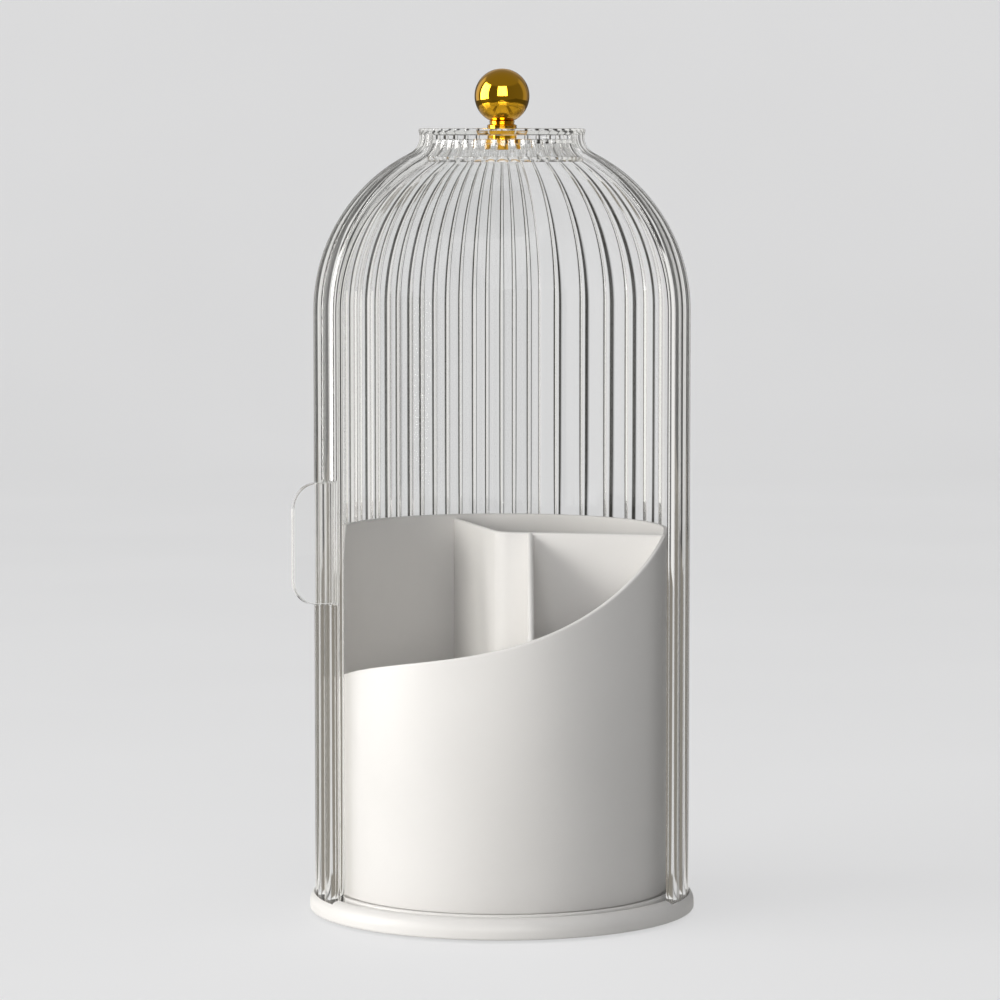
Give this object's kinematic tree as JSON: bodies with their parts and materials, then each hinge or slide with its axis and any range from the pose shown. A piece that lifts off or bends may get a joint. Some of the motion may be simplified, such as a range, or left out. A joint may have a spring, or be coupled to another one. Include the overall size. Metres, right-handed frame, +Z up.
{
  "type": "rotating makeup organizer",
  "caption": "Rotating makeup organizer with a divided white cup under a clear ribbed bell cover that has a sliding curved door and a gold ball knob.",
  "frame": {"origin": "centre of the underside, on the surface that the organizer stands on", "axes": "+Z up along the axis of the cup and the cover, -Y towards the open front, +X to the right seen from the front"},
  "size_m": [0.1553, 0.15, 0.3273],
  "materials": {
    "white_plastic": "smooth satin white",
    "clear_plastic": "clear, polished",
    "gold_metal": "polished gold plating",
    "steel": "plain steel",
    "grey_rubber": "matte",
    "cage_plastic": "matte"
  },
  "bodies": {
    "base": {"base_tray": "white_plastic", "base_cover": "white_plastic", "cover_screws": "steel", "anti_slip_ring": "grey_rubber"},
    "cage": {"ball_cage": "cage_plastic", "bearing_balls": "steel"},
    "rotor": {"turntable": "white_plastic", "cup": "white_plastic", "pivot_screw": "steel", "pivot_washer": "steel"},
    "cover": {"fixed_shell": "clear_plastic", "pivot_sleeve": "gold_metal", "lower_washer": "gold_metal", "cap_nut": "gold_metal", "knob_stud": "steel", "top_washer": "gold_metal", "knob_collar": "gold_metal", "knob_ball": "gold_metal"},
    "door": {"door_shell": "clear_plastic", "door_bush": "gold_metal", "door_handle": "clear_plastic"}
  },
  "joints": [
    {"name": "cup_spin", "type": "hinge", "parent": "base", "child": "rotor", "pos_m": [0, 0, 0.0055], "axis": [0, 0, 1], "continuous": true},
    {"name": "cage_spin", "type": "hinge", "parent": "base", "child": "cage", "pos_m": [0, 0, 0.00605], "axis": [0, 0, 1], "continuous": true},
    {"name": "cover_lift", "type": "slide", "parent": "base", "child": "cover", "axis": [0, 0, 1], "range_m": [0, 0.16]},
    {"name": "door_slide", "type": "hinge", "parent": "cover", "child": "door", "pos_m": [0, 0, 0.2992], "axis": [0, 0, 1], "range_deg": [0, 126.17]}
  ],
  "couplings": [
    {"joint": "cage_spin", "follows": "cup_spin", "ratio": 0.5}
  ]
}
